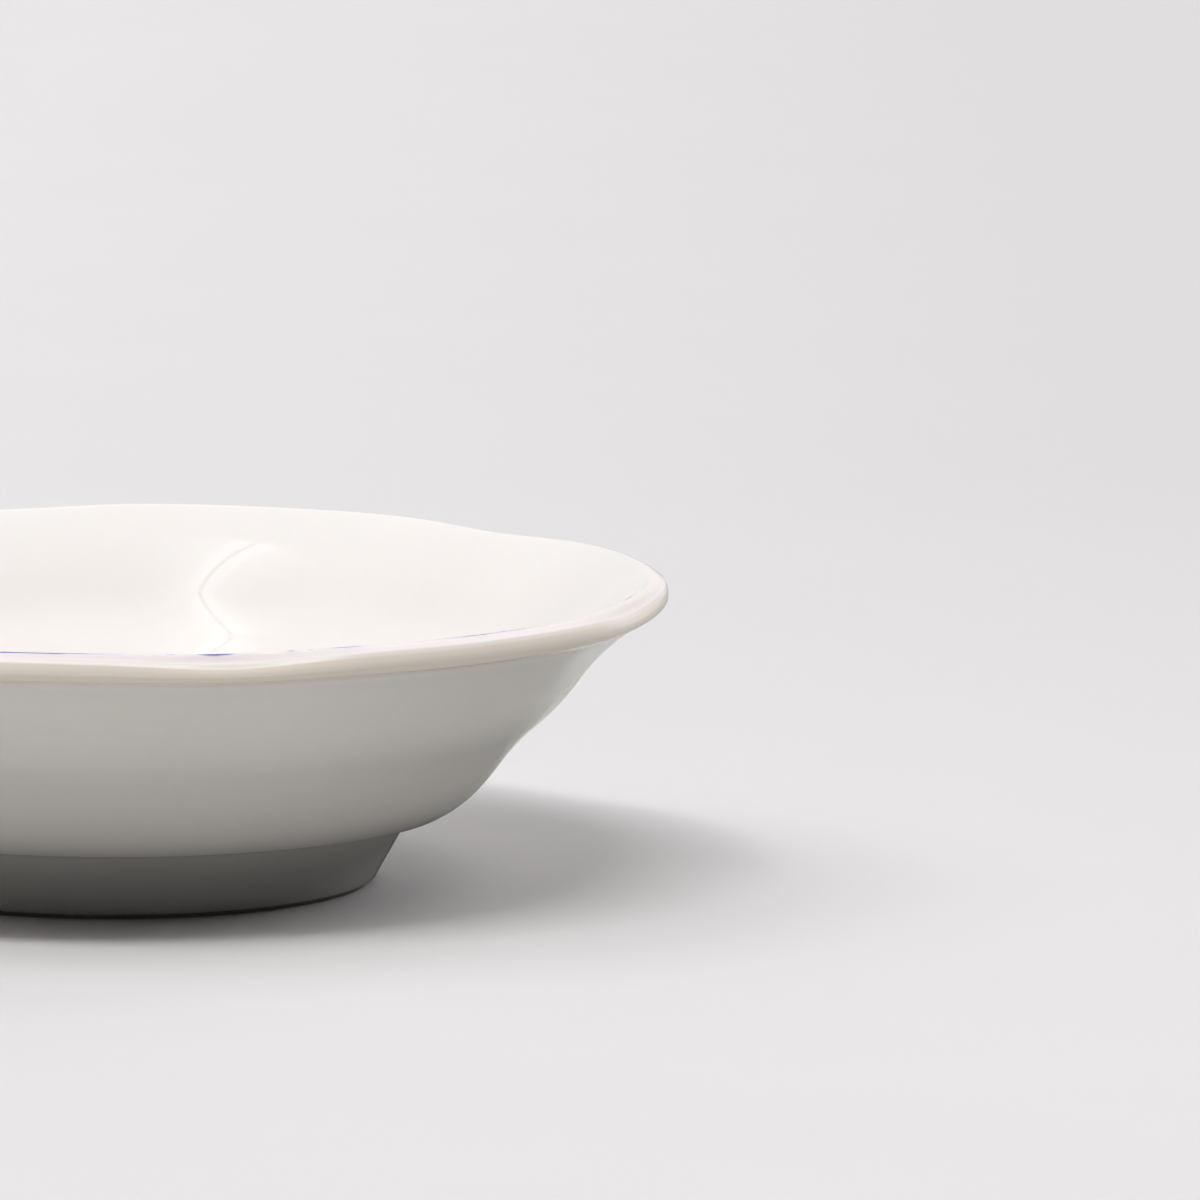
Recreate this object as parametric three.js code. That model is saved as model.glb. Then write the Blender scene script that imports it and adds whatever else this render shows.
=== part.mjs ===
// A shallow porcelain bowl with a six-lobed rim, on a tapered foot ring.
// Millimetres, +Z up. The origin is the centre of the ring that the bowl stands on,
// and the crest of one lobe points along +X.
//
// The bowl is put together as a potter makes it: a pressed clay body, a foot ring luted under it,
// and three coats of glaze. The section is drawn once, on the finished glazed skin, as a path
// that runs up the outside, over the lip and down the inside. Going along it, clay is on the left.
import * as THREE from "three";

// Driving dimensions of the whole bowl
const rimDiameter = 140; // across the crests of opposite lobes
const bowlHeight = 38.1; // table to the top of the lip
const clayWall = 2.5;
const glazeThickness = 0.33;

// Rolled lip, a little thicker than the wall
const lipDiameter = 3.64; // over the glaze
const lipSlope = 41; // of the flare inside it, in degrees above the table, as every slope here
const lipUnderSlope = 13; // where the neck runs into its underside

// Foot ring, tapering down to a bare standing edge
const footDiameter = 66.4; // outside, at the table
const footWidth = 3.2; // of the ring, at the table
const footFaceSlope = 61;
const footCove = 1.2; // fillet between the ring's outer face and the underside
const recessFaceSlope = 72;
const recessCove = 1.5; // fillet between the ring's inner face and the base
const footBevel = 0.4;
const bareBand = 0.5; // unglazed clay above the table

// Floor and flat underside
const undersideHeight = 9.0; // glazed underside above the table
const ledgeWidth = 2.0; // flat underside between the foot's fillet and the heel
const floorThickness = 3.2; // clay
const wellWidth = 7.85; // curve between the flat floor and the wall, measured level

// Stations of the finished outer wall between the heel and the lip: the share of the way out,
// the share of the way up, and the slope there
const skirtStation = [0.0555, 0.012, 27];
const bellyStation = [0.187, 0.1175, 46.5];
const hipStation = [0.298, 0.263, 54];
const waistStation = [0.468, 0.457, 40];
const shoulderStation = [0.659, 0.677, 55];
const neckStation = [0.926, 0.95, 34];

// Lobes pressed into the rim: notches between round petals, fading out down the wall
const lobeCount = 6;
const lobeReach = 18; // how far in from the rim they fade out
const notchDepth = 1.2; // inwards, at the lip
const notchDrop = 0.46; // downwards, at the lip
const notchSharpness = 3.45; // 1 is a sine wave, more is a narrower notch

// Fineness of the facets
const segmentsPerLobe = 10;
const wallSteps = 2; // between two stations
const flareSteps = 3; // from the shoulder to the neck
const halfLipSteps = 4; // round the lip to its middle, where the two coats meet
const wellSteps = 3;
const coveSteps = 2;

// Sizes that follow from those above
const segments = lobeCount * segmentsPerLobe;
const lipSteps = 2 * halfLipSteps;
const lobeStartRadius = rimDiameter / 2 - lobeReach;
const recessDiameter = footDiameter - 2 * footWidth; // at the table
const finishedWall = clayWall + 2 * glazeThickness;
const lipRound = lipDiameter / 2;
const lipCentre = new THREE.Vector2(rimDiameter / 2 - lipRound, bowlHeight - lipRound);
const seatHeight = undersideHeight + glazeThickness; // joint between body and ring
const floorTop = seatHeight + floorThickness + glazeThickness;

// Points of the section

// A point of the section and the way that the path runs there.
function station(radius, height, slope) {
  const angle = THREE.MathUtils.degToRad(slope);
  return {
    point: new THREE.Vector2(radius, height),
    along: new THREE.Vector2(Math.cos(angle), Math.sin(angle)),
  };
}

// The same point moved to the left of the path by a depth, into the clay.
function sunk({ point, along }, depth) {
  return new THREE.Vector2(point.x - depth * along.y, point.y + depth * along.x);
}

// The point straight through the wall from a station, where the path runs back down.
function throughWall(from) {
  return { point: sunk(from, finishedWall), along: from.along.clone().negate() };
}

// A smooth stretch between two stations, without its first point.
function stretch(from, to, steps) {
  const handle = from.point.distanceTo(to.point) / 3;
  const curve = new THREE.CubicBezierCurve(
    from.point,
    from.point.clone().addScaledVector(from.along, handle),
    to.point.clone().addScaledVector(to.along, -handle),
    to.point,
  );
  return Array.from({ length: steps }, (_, i) => {
    const share = (i + 1) / steps;
    return { point: curve.getPoint(share), along: curve.getTangent(share) };
  });
}

// Stretches through a run of stations, with the first station.
function run(stations, stepsOf) {
  const stretches = stations.slice(1).map((to, i) => stretch(stations[i], to, stepsOf(to)));
  return [stations[0], ...stretches.flat()];
}

const finished = (samples) => samples.map(({ point }) => point);
const clay = (samples) => samples.map((sample) => sunk(sample, glazeThickness));

// Radius at a height of a straight face that leans outwards from a diameter at the table.
function faceRadius(diameter, slope, height) {
  return diameter / 2 + height / Math.tan(THREE.MathUtils.degToRad(slope));
}

// How far the clay of such a face lies behind its glaze, measured level.
function glazeInset(slope) {
  return glazeThickness / Math.sin(THREE.MathUtils.degToRad(slope));
}

// Outside of the section, from the edge of the glaze on the foot up to the lip

const footFaceTop = undersideHeight - footCove;
const glazeEdge = station(faceRadius(footDiameter, footFaceSlope, bareBand), bareBand, footFaceSlope);
const coveFoot = station(faceRadius(footDiameter, footFaceSlope, footFaceTop), footFaceTop, footFaceSlope);
const seatRadius = faceRadius(footDiameter, footFaceSlope, undersideHeight) + footCove;
const seat = station(seatRadius, undersideHeight, 0);
const heel = station(seatRadius + ledgeWidth, undersideHeight, 0);
const footFace = [glazeEdge, coveFoot, ...stretch(coveFoot, seat, coveSteps)];

// A station of the lip, where the path runs at a slope.
function lipStation(slope) {
  const angle = THREE.MathUtils.degToRad(slope);
  const out = lipRound * Math.sin(angle);
  const up = -lipRound * Math.cos(angle);
  return station(lipCentre.x + out, lipCentre.y + up, slope);
}
const lipStart = lipStation(lipUnderSlope);
const lipEnd = lipStation(lipSlope + 180);

// A station of the wall, from its shares of the way from the heel to the lip.
function wallStation([outShare, upShare, slope]) {
  const reach = lipStart.point.x - heel.point.x;
  const rise = lipStart.point.y - heel.point.y;
  return station(heel.point.x + outShare * reach, heel.point.y + upShare * rise, slope);
}
const skirt = wallStation(skirtStation);
const belly = wallStation(bellyStation);
const hip = wallStation(hipStation);
const waist = wallStation(waistStation);
const shoulder = wallStation(shoulderStation);
const neck = wallStation(neckStation);
const stepsUpTo = (to) => (to === neck ? flareSteps : wallSteps);
const lowerWall = [seat, ...run([heel, skirt, belly], stepsUpTo)];
const upperWall = run([belly, hip, waist, shoulder, neck], stepsUpTo);
const outerWall = [...lowerWall, ...upperWall.slice(1), ...stretch(neck, lipStart, wallSteps)];

// The lip: just over half a turn, from its underside over to the inside
const lipTurn = lipSlope + 180 - lipUnderSlope;
const lip = Array.from({ length: lipSteps - 1 }, (_, i) =>
  lipStation(lipUnderSlope + (lipTurn * (i + 1)) / lipSteps),
);
const outerLip = lip.slice(0, halfLipSteps);
const innerLip = lip.slice(halfLipSteps - 1);

// Inside of the section: the wall above the belly, then the well, then the flat floor
const innerNeck = upperWall.map(throughWall).reverse();
const innerWall = [lipEnd, ...stretch(lipEnd, innerNeck[0], wallSteps), ...innerNeck.slice(1)];
const wallFoot = innerWall[innerWall.length - 1];
const floorEdge = {
  point: new THREE.Vector2(wallFoot.point.x - wellWidth, floorTop),
  along: new THREE.Vector2(-1, 0),
};
const well = stretch(wallFoot, floorEdge, wellSteps);
const floorCentre = { point: new THREE.Vector2(0, floorTop), along: floorEdge.along };
const inside = [...innerWall, ...well, floorCentre];

// Recess under the base, from the axis out and down to the glaze's edge
const recessRadius = (height) => faceRadius(recessDiameter, recessFaceSlope, height);
const downRecess = station(0, 0, recessFaceSlope).along.negate();
const recessTop = undersideHeight - recessCove;
const baseCentre = station(0, undersideHeight, 0);
const baseEdge = station(recessRadius(undersideHeight) - recessCove, undersideHeight, 0);
const recessFace = { point: new THREE.Vector2(recessRadius(recessTop), recessTop), along: downRecess };
const recessEdge = { point: new THREE.Vector2(recessRadius(bareBand), bareBand), along: downRecess };
const recess = [baseCentre, baseEdge, ...stretch(baseEdge, recessFace, coveSteps), recessEdge];

// Solids

// Draws the rim in at the notches between the lobes.
function pressLobes(geometry) {
  const place = geometry.getAttribute("position");
  for (let i = 0; i < place.count; i++) {
    const x = place.getX(i);
    const y = place.getY(i);
    const radius = Math.hypot(x, y);
    if (radius <= lobeStartRadius) continue;
    const notch = ((1 - Math.cos(lobeCount * Math.atan2(y, x))) / 2) ** notchSharpness;
    const share = notch * THREE.MathUtils.smoothstep(radius, lobeStartRadius, rimDiameter / 2);
    const narrowed = 1 - (notchDepth * share) / radius;
    place.setXYZ(i, x * narrowed, y * narrowed, place.getZ(i) - notchDrop * share);
  }
}

// Splits every four-sided facet along its shorter diagonal, so that two pieces that touch
// have the same facets on both sides of the joint.
function splitFacets(geometry, pointCount) {
  const place = geometry.getAttribute("position");
  const corner = (i) => new THREE.Vector3().fromBufferAttribute(place, i);
  const index = [];
  for (let turn = 0; turn < segments; turn++) {
    for (let step = 0; step < pointCount - 1; step++) {
      const a = turn * pointCount + step;
      const b = a + pointCount;
      const c = b + 1;
      const d = a + 1;
      const firstWay = corner(a).distanceToSquared(corner(c));
      const otherWay = corner(b).distanceToSquared(corner(d));
      index.push(...(firstWay < otherWay ? [a, b, c, a, c, d] : [a, b, d, b, c, d]));
    }
  }
  geometry.setIndex(index);
}

// A piece turned from its section about +Z, then pressed into lobes.
function turned(name, section, material) {
  const geometry = new THREE.LatheGeometry(section, segments);
  geometry.rotateX(Math.PI / 2);
  pressLobes(geometry);
  splitFacets(geometry, section.length);
  const mesh = new THREE.Mesh(geometry, material);
  mesh.name = name;
  return mesh;
}

const biscuit = new THREE.MeshStandardMaterial({ color: 0xe9e3da, roughness: 0.75, metalness: 0 });
const whiteGlaze = new THREE.MeshStandardMaterial({ color: 0xf3f0ec, roughness: 0.08, metalness: 0 });

// Pressed body: floor, wall and flared lip in one piece of clay.
function bowlBody() {
  const section = [
    new THREE.Vector2(0, seatHeight),
    ...clay([...outerWall, ...lip, ...inside]),
  ];
  return turned("bowl_body", section, biscuit);
}

// Foot ring: flat on top where it is luted to the body, bevelled round the bare standing edge.
function footRing() {
  const outerBevel = faceRadius(footDiameter, footFaceSlope, footBevel) - glazeInset(footFaceSlope);
  const innerBevel = recessRadius(footBevel) + glazeInset(recessFaceSlope);
  const outerFace = clay(footFace);
  const innerFace = clay(recess.slice(1));
  const section = [
    ...innerFace,
    new THREE.Vector2(innerBevel, footBevel),
    new THREE.Vector2(innerBevel + footBevel, 0),
    new THREE.Vector2(outerBevel - footBevel, 0),
    new THREE.Vector2(outerBevel, footBevel),
    ...outerFace,
    innerFace[0],
  ];
  return turned("foot_ring", section, biscuit);
}

// Glaze poured into the bowl: floor, well and wall, up to the middle of the lip.
function innerGlaze() {
  const covered = [...innerLip, ...inside];
  const section = [...clay(covered).reverse(), ...finished(covered)];
  return turned("inner_glaze", section, whiteGlaze);
}

// Glaze dipped on the outside: from the middle of the lip down to the foot's bare edge.
function outerGlaze() {
  const covered = [...footFace, ...outerWall.slice(1), ...outerLip];
  const section = [...finished(covered), ...clay(covered).reverse(), glazeEdge.point];
  return turned("outer_glaze", section, whiteGlaze);
}

// Glaze under the base, inside the foot ring.
function baseGlaze() {
  const section = [...finished(recess), ...clay(recess).reverse()];
  return turned("base_glaze", section, whiteGlaze);
}

const bowl = new THREE.Group();
bowl.add(bowlBody(), footRing(), innerGlaze(), outerGlaze(), baseGlaze());

export default bowl;
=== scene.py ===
import math

import bpy
from mathutils import Matrix


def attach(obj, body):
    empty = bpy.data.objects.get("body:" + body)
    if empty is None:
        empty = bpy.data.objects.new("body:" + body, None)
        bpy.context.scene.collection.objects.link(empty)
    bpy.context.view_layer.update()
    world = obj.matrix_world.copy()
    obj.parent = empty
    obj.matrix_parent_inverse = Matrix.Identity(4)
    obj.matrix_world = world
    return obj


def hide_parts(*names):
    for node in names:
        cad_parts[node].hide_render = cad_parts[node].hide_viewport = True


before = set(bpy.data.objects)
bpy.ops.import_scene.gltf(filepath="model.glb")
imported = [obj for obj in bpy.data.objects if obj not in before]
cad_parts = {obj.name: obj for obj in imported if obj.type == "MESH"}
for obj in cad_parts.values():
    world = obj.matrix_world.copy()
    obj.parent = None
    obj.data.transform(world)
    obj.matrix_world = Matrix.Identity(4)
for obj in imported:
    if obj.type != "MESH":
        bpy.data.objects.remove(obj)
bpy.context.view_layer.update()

# Glazed bowl
# One pressed piece of porcelain: floor, wall and flared lip, on a tapered foot. A warm white glaze
# runs over all of it and stops in a soft roll just above the edge that the bowl stands on.
MM = 0.001
rim_radius = 70.0
bowl_height = 38.06
finished_wall = 3.16
underside = 9.0
floor_top = 12.86

# Radius, height and slope of the section, with the clay on the left of the way that it runs
foot_recess = [
    (0, underside, 0),
    (31.42, underside, 0),
    (32.44, 7.5, 252),
    (30.24, 0.72, 252),
    (30.50, 0.46, 0),
]
foot_outside = [
    (33.18, 0.46, 0),
    (33.58, 0.70, 61),
    (37.52, 7.8, 61),
    (39.39, underside, 0),
]
heel = [(41.39, underside, 0), (42.90, 9.31, 27)]
outer_wall = [
    (46.48, 12.0, 46.5),
    (49.50, 15.71, 54),
    (54.12, 20.66, 40),
    (59.31, 26.27, 55),
    (66.58, 33.23, 34),
]
lip = [
    (68.66, 34.51, 16),
    (69.48, 34.95, 46),
    (69.94, 35.70, 82),
    (69.98, 36.25, 94),
    (69.87, 36.85, 105),
    (69.65, 37.32, 117),
    (69.49, 37.50, 146),
    (68.10, bowl_height, 180),
    (66.90, 37.55, 209),
    (64.65, 36.09, 214),
]
inner_wall = [
    (
        radius - finished_wall * math.sin(math.radians(slope)),
        height + finished_wall * math.cos(math.radians(slope)),
        slope + 180,
    )
    for radius, height, slope in reversed(outer_wall[:-1])
]
floor_of_bowl = [(36.0, floor_top, 180), (0, floor_top, 180)]
bowl_section = foot_recess + foot_outside + heel + outer_wall + lip + inner_wall + floor_of_bowl


def turned(name, section, steps, fineness):
    """Draws a section as one smooth line and spins it round the axis into a closed piece."""
    bpy.ops.object.select_all(action="DESELECT")
    bpy.ops.curve.primitive_bezier_curve_add(location=(0, 0, 0))
    line = bpy.context.object.data
    line.resolution_u = fineness
    points = line.splines[0].bezier_points
    points.add(len(section) - len(points))
    for i, (radius, height, slope) in enumerate(section):
        before = math.dist(section[max(i - 1, 0)][:2], (radius, height)) / 3
        after = math.dist(section[min(i + 1, len(section) - 1)][:2], (radius, height)) / 3
        run, rise = math.cos(math.radians(slope)), math.sin(math.radians(slope))
        points[i].handle_left_type = points[i].handle_right_type = "FREE"
        points[i].co = (radius * MM, 0, height * MM)
        points[i].handle_left = ((radius - before * run) * MM, 0, (height - before * rise) * MM)
        points[i].handle_right = ((radius + after * run) * MM, 0, (height + after * rise) * MM)
    bpy.ops.object.convert(target="MESH")
    piece = bpy.context.object
    piece.name = piece.data.name = name

    # Way along the section from the top of the piece, in millimetres, kept for the glaze
    drawn = [vertex.co.copy() for vertex in piece.data.vertices]
    way = [0.0]
    for last, here in zip(drawn, drawn[1:]):
        way.append(way[-1] + (here - last).length / MM)
    top = max(range(len(drawn)), key=lambda i: drawn[i].z)
    from_top = piece.data.attributes.new("from_top", "FLOAT", "POINT")
    for i, kept in enumerate(from_top.data):
        kept.value = way[i] - way[top]

    bpy.ops.object.mode_set(mode="EDIT")
    bpy.ops.mesh.select_all(action="SELECT")
    bpy.ops.mesh.spin(steps=steps, angle=math.tau, center=(0, 0, 0), axis=(0, 0, 1))
    bpy.ops.mesh.select_all(action="SELECT")
    bpy.ops.mesh.remove_doubles(threshold=0.002 * MM)
    bpy.ops.mesh.normals_make_consistent(inside=False)
    bpy.ops.object.mode_set(mode="OBJECT")
    bpy.ops.object.shade_smooth()
    return piece


def smooth(share):
    """A share from 0 to 1 that starts and stops gently."""
    share = min(max(share, 0), 1)
    return share * share * (3 - 2 * share)


bowl = turned("glazed_bowl", bowl_section, 300, 8)

# Notches pressed into the rim between round petals, fading out down the wall. At a notch the arris of the
# lip runs lower, and its top is pressed further in than its underside.
lobe_count = 6
lobe_reach = 18.0
notch_depth = 1.2
notch_drop = 0.46
notch_sharpness = 3.45
lip_middle = (68.18, 36.28)
lip_size = 2.1
lip_underside = 34.4
lip_rise = 3.0
lip_press = 0.4
arris_drop = 0.45
arris_start, arris_full, arris_still_full, arris_end = -60, 40, 47, 90
for vertex in bowl.data.vertices:
    radius = math.hypot(vertex.co.x, vertex.co.y)
    rise = smooth((radius / MM - rim_radius + lobe_reach) / lobe_reach)
    notch = ((1 - math.cos(lobe_count * math.atan2(vertex.co.y, vertex.co.x))) / 2) ** notch_sharpness
    if notch * rise > 0:
        out, up = radius / MM - lip_middle[0], vertex.co.z / MM - lip_middle[1]
        facing = math.degrees(math.atan2(up, out))
        if math.hypot(out, up) < lip_size:
            below = (facing - arris_start) / (arris_full - arris_start)
            above = (arris_end - facing) / (arris_end - arris_still_full)
            vertex.co.z -= arris_drop * MM * notch * smooth(min(below, above))
        press = lip_press * smooth((vertex.co.z / MM - lip_underside) / lip_rise)
        narrowed = 1 - (notch_depth * rise + press) * notch * MM / radius
        vertex.co.x *= narrowed
        vertex.co.y *= narrowed
        vertex.co.z -= notch_drop * MM * notch * rise


def linear(colour):
    """The linear colour, with alpha, of an sRGB hex value."""
    shares = [int(colour[i : i + 2], 16) / 255 for i in (1, 3, 5)]
    return [c / 12.92 if c <= 0.04045 else ((c + 0.055) / 1.055) ** 2.4 for c in shares] + [1.0]


def add_node(tree, kind, inputs, **settings):
    """Adds a node with its settings, and gives each input a value or another node's output."""
    made = tree.nodes.new(kind)
    for name, value in settings.items():
        setattr(made, name, value)
    for socket, value in inputs.items():
        if isinstance(value, bpy.types.NodeSocket):
            tree.links.new(value, made.inputs[socket])
        else:
            made.inputs[socket].default_value = value
    return made


def band(tree, value, start, full, still_full, end):
    """A mask that rises from start to full and falls again from still_full to end."""
    rise, fall = [
        add_node(
            tree,
            "ShaderNodeMapRange",
            {"Value": value, "From Min": none, "From Max": all_of_it},
            interpolation_type="SMOOTHSTEP",
        ).outputs["Result"]
        for none, all_of_it in ((start, full), (end, still_full))
    ]
    return add_node(tree, "ShaderNodeMath", {0: rise, 1: fall}, operation="MULTIPLY").outputs[0]


# Clear feldspar glaze over white porcelain, fired glossy: a warm white skin with clean reflections,
# faint waves left by the dip, and a creamier edge where it runs thin over the lip. That cream also stands
# in
# for light glowing warm through the lip: partly painted light.
glaze = bpy.data.materials.new("clear_glaze_on_porcelain")
glaze.use_nodes = True
tree = glaze.node_tree
shader = tree.nodes["Principled BSDF"]
shader.inputs["Roughness"].default_value = 0.03
shader.inputs["IOR"].default_value = 1.5
shader.inputs["Subsurface Weight"].default_value = 0.2
shader.inputs["Subsurface Radius"].default_value = (1.0, 0.8, 0.6)
shader.inputs["Subsurface Scale"].default_value = 1.0 * MM

place = add_node(tree, "ShaderNodeTexCoord", {}).outputs["Object"]
height = add_node(tree, "ShaderNodeSeparateXYZ", {"Vector": place}).outputs["Z"]
from_lip = add_node(tree, "ShaderNodeAttribute", {}, attribute_name="from_top").outputs["Fac"]

# Cloudy tone of the fired body, about 20 mm across
clouds = add_node(
    tree, "ShaderNodeTexNoise", {"Vector": place, "Scale": 1 / (20 * MM), "Detail": 3}
).outputs["Fac"]
cloudy = add_node(
    tree, "ShaderNodeMapRange", {"Value": clouds, "From Min": 0.35, "From Max": 0.65}
).outputs["Result"]
white = add_node(
    tree, "ShaderNodeMix", {0: cloudy, 6: linear("#F8F3F0"), 7: linear("#FAF5F2")}, data_type="RGBA"
).outputs[2]

# Brush lines of cobalt under the glaze, a loose band of water lines along one side of the inner rim.
# Way round the rim from the middle of the band, way down from the lip, half length, half width, tilt
band_middle = math.radians(-101.9)
brush_lines = [
    (-52.0, 0.3, 9.0, 0.6, 0.0),
    (-33.0, 0.3, 6.0, 0.65, 0.0),
    (-12.0, 0.3, 15.0, 0.85, 0.0),
    (7.6, 0.3, 0.9, 0.5, 0.0),
    (13.4, 0.3, 3.6, 0.8, 0.0),
    (23.0, 0.25, 0.8, 0.6, 0.0),
    (25.6, 0.3, 0.5, 0.5, 0.0),
    (30.0, 0.3, 3.4, 0.65, 0.0),
    (51.0, 0.35, 10.5, 0.65, 0.0),
    (-41.0, 3.6, 10.0, 0.5, 1.0),
    (-18.0, 3.3, 8.0, 0.65, -1.0),
    (5.0, 3.5, 11.0, 0.6, 0.5),
    (31.0, 3.7, 9.0, 0.55, -0.5),
    (-27.0, 6.2, 9.0, 0.5, 0.5),
    (-4.0, 6.4, 8.0, 0.6, -0.5),
    (17.0, 6.1, 7.0, 0.5, 0.5),
    (-12.0, 9.0, 6.0, 0.45, 0.0),
    (6.0, 9.2, 5.0, 0.4, 0.0),
]
turn_back = add_node(
    tree, "ShaderNodeMapping", {"Vector": place, "Rotation": (0, 0, -band_middle)}
).outputs["Vector"]
turned_axes = add_node(tree, "ShaderNodeSeparateXYZ", {"Vector": turn_back})
turn = add_node(
    tree, "ShaderNodeMath", {0: turned_axes.outputs["Y"], 1: turned_axes.outputs["X"]}, operation="ARCTAN2"
).outputs[0]
round_rim = add_node(tree, "ShaderNodeMath", {0: turn, 1: rim_radius}, operation="MULTIPLY").outputs[0]
on_skin = add_node(tree, "ShaderNodeCombineXYZ", {"X": round_rim, "Y": from_lip}).outputs["Vector"]
hand = add_node(
    tree, "ShaderNodeTexNoise", {"Vector": place, "Scale": 1 / (3 * MM), "Detail": 2}
).outputs["Color"]
shake = add_node(
    tree, "ShaderNodeVectorMath", {0: hand, 1: (0.5, 0.5, 0.5)}, operation="SUBTRACT"
).outputs["Vector"]
brushed = add_node(
    tree, "ShaderNodeVectorMath", {0: shake, 1: (0.5, 0.5, 0), 2: on_skin}, operation="MULTIPLY_ADD"
).outputs["Vector"]
nearest = 9.0
for along, down, half_length, half_width, tilt in brush_lines:
    in_line = add_node(
        tree,
        "ShaderNodeMapping",
        {
            "Vector": brushed,
            "Location": (along, down, 0),
            "Rotation": (0, 0, math.radians(tilt)),
            "Scale": (half_length, half_width, 1),
        },
        vector_type="TEXTURE",
    ).outputs["Vector"]
    reach = add_node(tree, "ShaderNodeVectorMath", {0: in_line}, operation="LENGTH").outputs["Value"]
    nearest = add_node(tree, "ShaderNodeMath", {0: reach, 1: nearest}, operation="MINIMUM").outputs[0]
haze, stroke = [
    add_node(
        tree,
        "ShaderNodeMapRange",
        {"Value": nearest, "From Min": inside, "From Max": outside, "To Min": strength, "To Max": 0.0},
        interpolation_type="SMOOTHSTEP",
    ).outputs["Result"]
    for inside, outside, strength in ((1.0, 2.2, 0.18), (0.6, 1.05, 0.9))
]

# Laid over the white in turn: a faint pink wash on top of the lip, up to the arris, cream from there down
# to the neck, where the glaze runs thin and where the cream also stands in for light glowing warm through
# the lip (partly painted light), greyer glaze settled on the floor of the bowl, a darker grey over the foot
# up to the heel that is painted shade, then the haze and the body of the brush lines.
tints = [
    (band(tree, from_lip, 0.6, 0.1, -1.2, -1.5), "#F7EFED"),
    # Cream where the glaze runs thin over the lip, partly a painted warm glow of light through the lip
    (band(tree, from_lip, -1.5, -2.3, -5.2, -6.6), "#FCF0E5"),
    (band(tree, from_lip, 32.0, 46.0, 120.0, 130.0), "#DCD6D1"),
    # Darker grey over the foot, up to the heel: painted shade, not a change in the glaze
    (band(tree, height, 0.5 * MM, 6.0 * MM, 8.9 * MM, 9.3 * MM), "#DAD8D5"),
    (haze, "#B9BBE6"),
    (stroke, "#4440A4"),
]
painted = white
for share, tint in tints:
    painted = add_node(
        tree, "ShaderNodeMix", {0: share, 6: painted, 7: linear(tint)}, data_type="RGBA"
    ).outputs[2]
tree.links.new(painted, shader.inputs["Base Color"])

# Waves in the glaze about 9 mm apart, low enough to show only in reflections
waves = add_node(
    tree, "ShaderNodeTexNoise", {"Vector": place, "Scale": 1 / (9 * MM), "Detail": 1}
).outputs["Fac"]
rippled = add_node(
    tree, "ShaderNodeBump", {"Height": waves, "Strength": 1.0, "Distance": 0.012 * MM}
).outputs["Normal"]
tree.links.new(rippled, shader.inputs["Normal"])

bowl.data.materials.append(glaze)
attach(bowl, "root")
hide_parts("bowl_body", "inner_glaze", "outer_glaze", "base_glaze")

# Foot ring
# The bare edge of the clay ring that was luted under the body and wiped clean of glaze before firing,
# so that it would not stick to the kiln shelf. It shows below the roll of glaze.
foot_section = [
    (30.54, 0.60, 252),
    (30.47, 0.38, 252),
    (30.90, 0.0, 0),
    (32.62, 0.0, 0),
    (33.03, 0.38, 61),
    (33.15, 0.60, 61),
    (33.00, 0.74, 180),
    (30.70, 0.74, 180),
    (30.54, 0.60, 252),
]
foot = turned("foot_ring_edge", foot_section, 240, 4)

# Bare fired porcelain: matt and faintly warm, with fine grit and a dark tan flash beside the glaze. The
# flash is partly the kiln's own colour and partly painted shade for the dark line where the foot stands on
# the board.
biscuit = bpy.data.materials.new("bare_porcelain")
biscuit.use_nodes = True
tree = biscuit.node_tree
shader = tree.nodes["Principled BSDF"]
shader.inputs["Roughness"].default_value = 0.75
shader.inputs["IOR"].default_value = 1.5
place = add_node(tree, "ShaderNodeTexCoord", {}).outputs["Object"]
height = add_node(tree, "ShaderNodeSeparateXYZ", {"Vector": place}).outputs["Z"]
# Dark tan low on the bare edge: partly kiln flash, partly painted shade along the foot's contact with the
# board
flash_and_edge_shade = add_node(
    tree,
    "ShaderNodeMapRange",
    {"Value": height, "From Min": 0.15 * MM, "From Max": 0.5 * MM, "To Max": 0.8},
).outputs["Result"]
grit = add_node(
    tree, "ShaderNodeTexNoise", {"Vector": place, "Scale": 1 / (0.5 * MM), "Detail": 4}
).outputs["Fac"]
gritty = add_node(
    tree, "ShaderNodeMix", {0: grit, 6: linear("#CFC4B4"), 7: linear("#E2DACC")}, data_type="RGBA"
).outputs[2]
flashed_and_shaded = add_node(
    tree, "ShaderNodeMix", {0: flash_and_edge_shade, 6: gritty, 7: linear("#94745A")}, data_type="RGBA"
).outputs[2]
tree.links.new(flashed_and_shaded, shader.inputs["Base Color"])
rough = add_node(tree, "ShaderNodeBump", {"Height": grit, "Strength": 0.6, "Distance": 0.05 * MM})
tree.links.new(rough.outputs["Normal"], shader.inputs["Normal"])
foot.data.materials.append(biscuit)
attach(foot, "root")
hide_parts("foot_ring")

# Floor
# A wide sheet of pale grey board, flat and matt, with the faintest mottling. It falls into shade to the
# right and behind, and it throws less light up at the bowl from under the foot and from the right.
bpy.ops.object.select_all(action="DESELECT")
bpy.ops.mesh.primitive_plane_add(size=12, location=(0, 0, -0.05 * MM))
floor = bpy.context.object
floor.name = floor.data.name = "floor"
board = bpy.data.materials.new("pale_grey_board")
board.use_nodes = True
tree = board.node_tree
shader = tree.nodes["Principled BSDF"]
shader.inputs["Roughness"].default_value = 0.9
shader.inputs["Specular IOR Level"].default_value = 0.0
place = add_node(tree, "ShaderNodeTexCoord", {}).outputs["Object"]
mottle = add_node(
    tree, "ShaderNodeTexNoise", {"Vector": place, "Scale": 1 / (60 * MM), "Detail": 4}
).outputs["Fac"]
mottled = add_node(
    tree, "ShaderNodeMix", {0: mottle, 6: linear("#D7D5D6"), 7: linear("#DAD8D9")}, data_type="RGBA"
).outputs[2]
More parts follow.
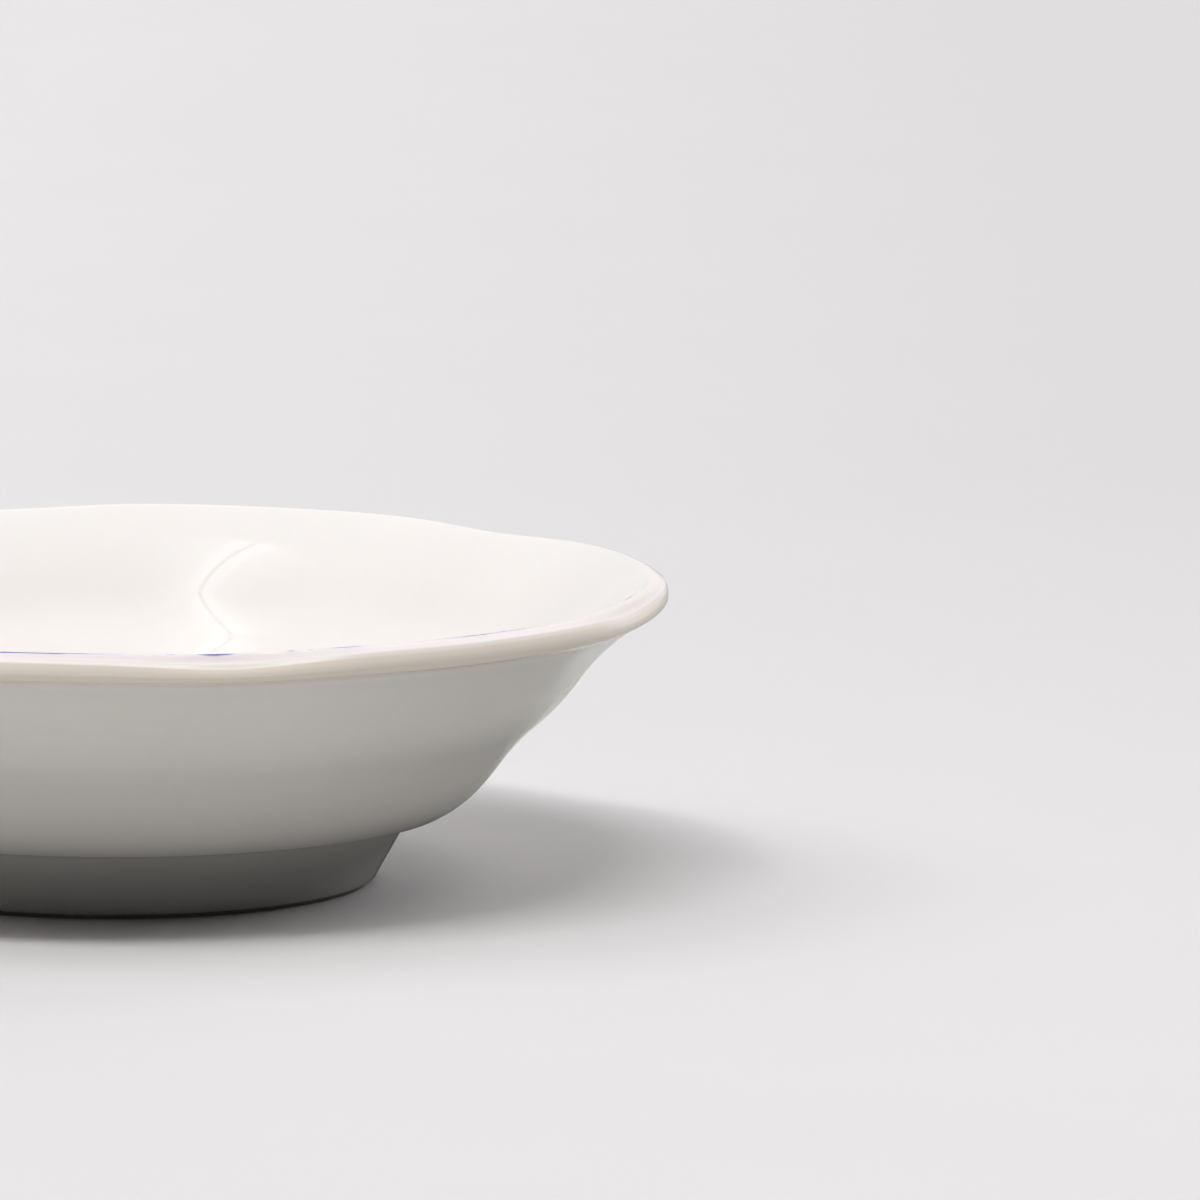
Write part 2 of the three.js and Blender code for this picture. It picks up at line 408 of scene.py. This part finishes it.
rightwards = add_node(
    tree, "ShaderNodeVectorMath", {0: place, 1: (0.97, -0.244, 0.0)}, operation="DOT_PRODUCT"
).outputs["Value"]
behind = add_node(
    tree, "ShaderNodeVectorMath", {0: place, 1: (0.244, 0.97, 0.0)}, operation="DOT_PRODUCT"
).outputs["Value"]
to_right = add_node(
    tree, "ShaderNodeMapRange", {"Value": rightwards, "From Min": -0.05, "From Max": 0.16, "To Max": 0.75}
).outputs["Result"]
to_back = add_node(
    tree, "ShaderNodeMapRange", {"Value": behind, "From Min": -0.1, "From Max": 0.4}
).outputs["Result"]
shade = add_node(tree, "ShaderNodeMath", {0: to_right, 1: to_back}, operation="MULTIPLY").outputs[0]
shaded = add_node(
    tree, "ShaderNodeMix", {0: shade, 6: mottled, 7: linear("#CCCACB")}, data_type="RGBA"
).outputs[2]

# What the bowl sees of the board, which is not what the camera sees
from_axis = add_node(tree, "ShaderNodeVectorMath", {0: place}, operation="LENGTH").outputs["Value"]
open_floor = add_node(
    tree, "ShaderNodeMapRange", {"Value": from_axis, "From Min": 42 * MM, "From Max": 74 * MM}
).outputs["Result"]
on_the_right = add_node(
    tree, "ShaderNodeMapRange", {"Value": rightwards, "From Min": 0.03, "From Max": 0.11, "To Max": 0.8}
).outputs["Result"]
bounce = add_node(
    tree, "ShaderNodeMix", {0: open_floor, 6: linear("#666464"), 7: linear("#CCCCC9")}, data_type="RGBA"
).outputs[2]
bounced = add_node(
    tree, "ShaderNodeMix", {0: on_the_right, 6: bounce, 7: linear("#A0A09D")}, data_type="RGBA"
).outputs[2]
seen = add_node(tree, "ShaderNodeLightPath", {}).outputs["Is Camera Ray"]
shown = add_node(tree, "ShaderNodeMix", {0: seen, 6: bounced, 7: shaded}, data_type="RGBA").outputs[2]
tree.links.new(shown, shader.inputs["Base Color"])
floor.data.materials.append(board)

# Light
# A long narrow box in front and above, made of a row of lamps, and broad soft boxes all round that fill its
# shadow, with a pale wall behind. In the glaze they show as one long box overhead and a bar in front.
# Name, height and turn from the camera in degrees, width across in degrees, strength
camera_turn = -101.9
lamps = [("strip", 60, turn, 8, 0.187) for turn in range(-48, 20, 8)] + [
    ("overhead", 88, 0, 30, 0.15),
    ("front_left", 45, -60, 30, 0.16),
    ("left_side", 52, -97, 40, 0.84),
    ("right_side", 44, 92, 32, 0.64),
    ("back_right", 30, 133, 40, 0.84),
]
for name, height, turn, width, strength in lamps:
    bpy.ops.object.light_add(type="SUN", location=(0, 0, 1))
    lamp = bpy.context.object
    lamp.name = lamp.data.name = name
    lamp.data.energy = strength
    lamp.data.angle = math.radians(width)
    lamp.rotation_euler = (math.radians(90 - height), 0, math.radians(90 + camera_turn + turn))
    lamp.visible_glossy = False

world = bpy.data.worlds.new("studio")
bpy.context.scene.world = world
world.use_nodes = True
tree = world.node_tree
sky = tree.nodes["Background"]
sky.inputs["Color"].default_value = linear("#FFFFFF")
way = add_node(tree, "ShaderNodeTexCoord", {}).outputs["Generated"]
from_camera = add_node(
    tree, "ShaderNodeMapping", {"Vector": way, "Rotation": (0, 0, math.radians(-camera_turn))}
).outputs["Vector"]
parts = add_node(tree, "ShaderNodeSeparateXYZ", {"Vector": from_camera}).outputs
front, right, up = parts["X"], parts["Y"], parts["Z"]

# Pale wall, low down at the back, over a trace of light from all sides
to_back = add_node(
    tree, "ShaderNodeVectorMath", {0: from_camera, 1: (-1, 0, -0.35)}, operation="DOT_PRODUCT"
).outputs["Value"]
wall = add_node(
    tree,
    "ShaderNodeMapRange",
    {"Value": to_back, "From Min": -0.1, "From Max": 0.5, "To Min": 0.05, "To Max": 0.5},
    interpolation_type="SMOOTHSTEP",
).outputs["Result"]

# Boxes that show only in the glaze, each a strength and the masks that bound it: the glow and the hot
# middle of a long box overhead on the left, parted by a seam, a bar in front, and the backdrop seen edge-on
no_start = (-3.0, -2.0)
no_end = (2.0, 3.0)
along_box = band(tree, front, -0.13, -0.05, 0.45, 0.6)
seam = band(tree, right, -0.289, -0.283, -0.277, -0.271)
beside_seam = add_node(tree, "ShaderNodeMath", {0: 1.0, 1: seam}, operation="SUBTRACT").outputs[0]
boxes = [
    (1.0, [along_box, beside_seam, band(tree, right, -0.48, -0.31, -0.25, -0.08)]),
    (1.3, [along_box, beside_seam, band(tree, right, -0.345, -0.3, -0.26, -0.215)]),
    (
        3.6,
        [
            band(tree, front, 0.3, 0.4, *no_end),
            band(tree, right, *no_start, 0.35, 0.6),
            band(tree, up, 0.64, 0.7, 0.82, 0.86),
        ],
    ),
    (0.25, [band(tree, front, *no_start, -0.9, -0.6), band(tree, up, *no_start, 0.12, 0.35)]),
]
mirrored = add_node(tree, "ShaderNodeLightPath", {}).outputs["Is Glossy Ray"]
lit = wall
for strength, masks in boxes:
    box = strength
    for mask in masks:
        box = add_node(tree, "ShaderNodeMath", {0: box, 1: mask}, operation="MULTIPLY").outputs[0]
    lit = add_node(
        tree, "ShaderNodeMath", {0: box, 1: mirrored, 2: lit}, operation="MULTIPLY_ADD"
    ).outputs[0]
tree.links.new(lit, sky.inputs["Strength"])

# Camera
# A long lens low in front of the bowl, a little to its left, with the bowl in the left half of the frame.
camera_place = (-0.329465, -1.560485, 0.260100)
camera_data = bpy.data.cameras.new("camera")
camera = bpy.data.objects.new("camera", camera_data)
bpy.context.scene.collection.objects.link(camera)
camera_data.sensor_width = 36
camera_data.lens = 386.08
camera_data.clip_end = 100
aim = Matrix.Rotation(math.radians(-14.125), 4, "Z") @ Matrix.Rotation(math.radians(81.976), 4, "X")
roll = Matrix.Rotation(math.radians(0.488), 4, "Z")
camera.matrix_world = Matrix.Translation(camera_place) @ aim @ roll
bpy.context.scene.camera = camera
bpy.context.scene.view_settings.view_transform = "Standard"
